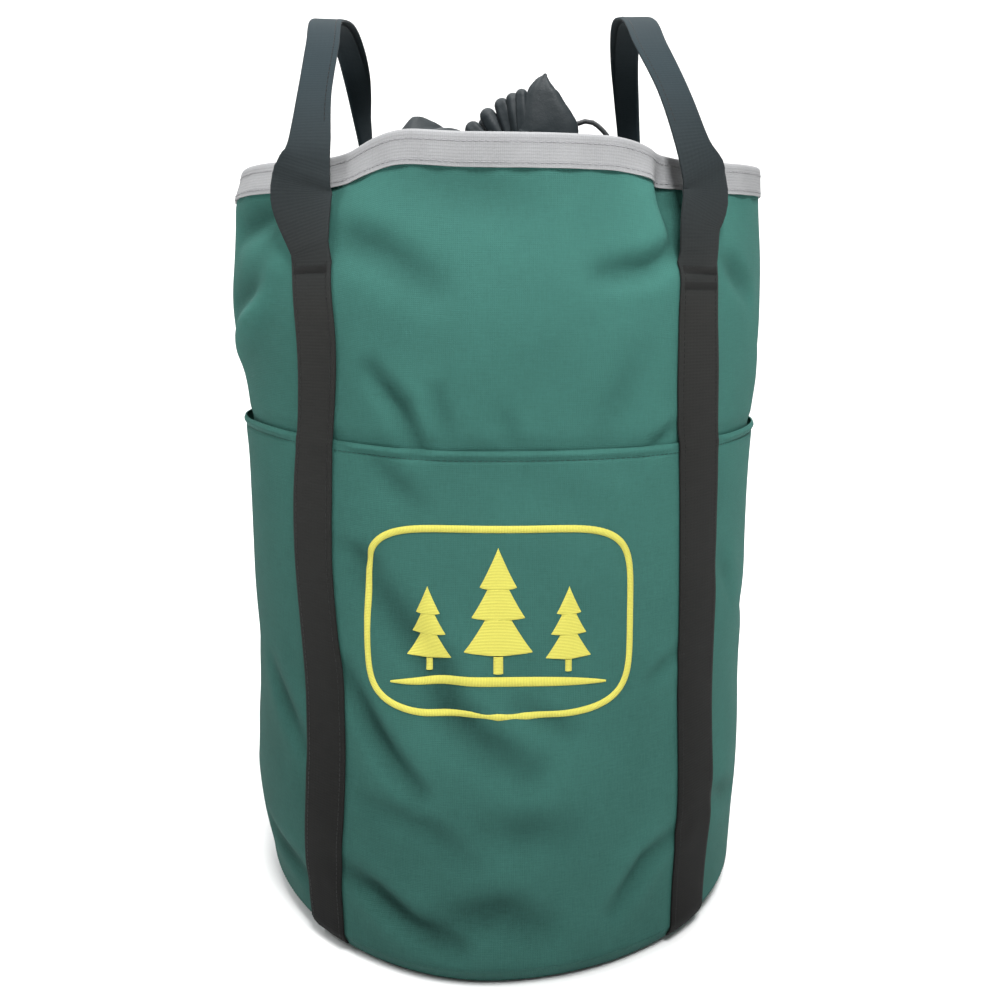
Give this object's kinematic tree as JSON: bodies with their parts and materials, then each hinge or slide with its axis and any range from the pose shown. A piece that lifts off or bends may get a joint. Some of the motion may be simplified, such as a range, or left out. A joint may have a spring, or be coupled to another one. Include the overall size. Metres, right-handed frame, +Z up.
{
  "type": "rope storage bag",
  "caption": "Tall cylindrical canvas rope bag with webbing straps, carrying handles, outer pockets and a gathered drawcord collar.",
  "frame": {"origin": "middle of the base, on the surface that the bag stands on", "axes": "+Z up along the bag, the emblem's side faces -Y, and the handles run front to back at -X and +X"},
  "size_m": [0.3696, 0.3696, 0.6151],
  "materials": {
    "canvas": "woven polyester canvas, matt with a slight sheen",
    "webbing": "ribbed webbing",
    "tape": "finely ribbed binding tape",
    "nylon": "thin coated nylon",
    "cord": "braided cord",
    "lock_plastic": "moulded",
    "spring_steel": "drawn wire"
  },
  "bodies": {
    "bag": {"side_wall": "canvas", "base_disc": "canvas", "base_seam_tape": "tape", "pocket_wrap": "canvas", "rim_tape": "tape", "front_left_strap": "webbing", "front_right_strap": "webbing", "back_left_strap": "webbing", "back_right_strap": "webbing", "collar_skirt": "nylon"},
    "left_grip": {"left_handle": "webbing"},
    "right_grip": {"right_handle": "webbing"},
    "collar": {"collar_ruffle": "nylon", "drawcord": "cord", "drawcord_coil": "cord", "drawcord_knot": "cord"},
    "lock": {"cord_lock_body": "lock_plastic", "cord_lock_spring": "spring_steel"},
    "plunger": {"cord_lock_plunger": "lock_plastic"}
  },
  "joints": [
    {"name": "left_handle_swing", "type": "hinge", "parent": "bag", "child": "left_grip", "pos_m": [-0.112, 0, 0.512], "axis": [0, -1, 0], "range_deg": [-35, 120], "deforming": ["front_left_strap", "back_left_strap"]},
    {"name": "right_handle_swing", "type": "hinge", "parent": "bag", "child": "right_grip", "pos_m": [0.115, 0, 0.512], "axis": [0, 1, 0], "range_deg": [-20, 120], "deforming": ["front_right_strap", "back_right_strap"]},
    {"name": "collar_lift", "type": "slide", "parent": "bag", "child": "collar", "axis": [0, 0, 1], "range_m": [0, 0.06], "deforming": ["collar_skirt"]},
    {"name": "cord_lock_slide", "type": "slide", "parent": "collar", "child": "lock", "axis": [0, 1, 0], "range_m": [0, 0.016]},
    {"name": "plunger_press", "type": "slide", "parent": "lock", "child": "plunger", "axis": [-1, 0, 0], "range_m": [0, 0.0025], "stiffness_N_per_m": 400, "springref_m": -0.005, "deforming": ["cord_lock_spring"]}
  ]
}
